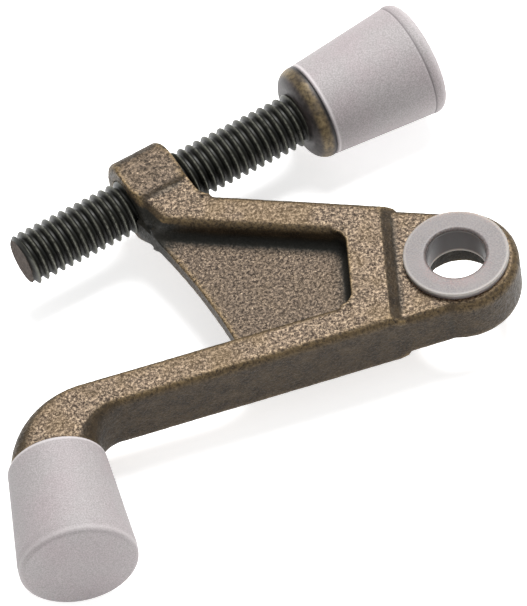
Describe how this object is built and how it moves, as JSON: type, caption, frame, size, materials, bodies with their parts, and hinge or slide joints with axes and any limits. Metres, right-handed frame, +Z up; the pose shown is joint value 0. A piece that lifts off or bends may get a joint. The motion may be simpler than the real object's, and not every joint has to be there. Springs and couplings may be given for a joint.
{
  "type": "hinge pin door stop",
  "caption": "Heavy hinge-pin door stop: a cast V-shaped frame that swings on the hinge pin in a nylon bush, with an adjusting screw and tapered rubber bumpers.",
  "frame": {"origin": "on the hinge-pin axis, in the casting's mid-plane", "axes": "+Z up along the hinge pin, +X from the arms towards the eye, the two arms symmetric about X"},
  "size_m": [0.0897, 0.1107, 0.0212],
  "materials": {
    "cast_brass": "antique brass plating over a sand-textured casting, speckled, satin",
    "nylon": "white-grey nylon, slightly translucent, smooth satin",
    "dark_steel": "oil-blackened steel with worn bright crests",
    "grey_rubber": "light grey moulded rubber, fine matte grain"
  },
  "bodies": {
    "bush": {"pin_bush": "nylon"},
    "frame": {"stop_frame": "cast_brass", "fixed_bumper": "grey_rubber"},
    "tip": {"adjustable_bumper": "grey_rubber"},
    "screw": {"adjusting_screw": "dark_steel"}
  },
  "joints": [
    {"name": "swing_on_pin", "type": "hinge", "parent": "bush", "child": "frame", "pos_m": [0, 0, 0], "axis": [0, 0, 1], "continuous": true},
    {"name": "bumper_travel", "type": "slide", "parent": "frame", "child": "tip", "axis": [0.8973, 0.4415, 0], "range_m": [-0.02064, 0.0127]},
    {"name": "screw_turn", "type": "hinge", "parent": "tip", "child": "screw", "pos_m": [-0.02204, 0.0393, 0], "axis": [0.8973, 0.4415, 0], "range_deg": [-4685, 2885]}
  ],
  "couplings": [
    {"joint": "screw_turn", "follows": "bumper_travel", "rad_per_m": 3957.9}
  ]
}
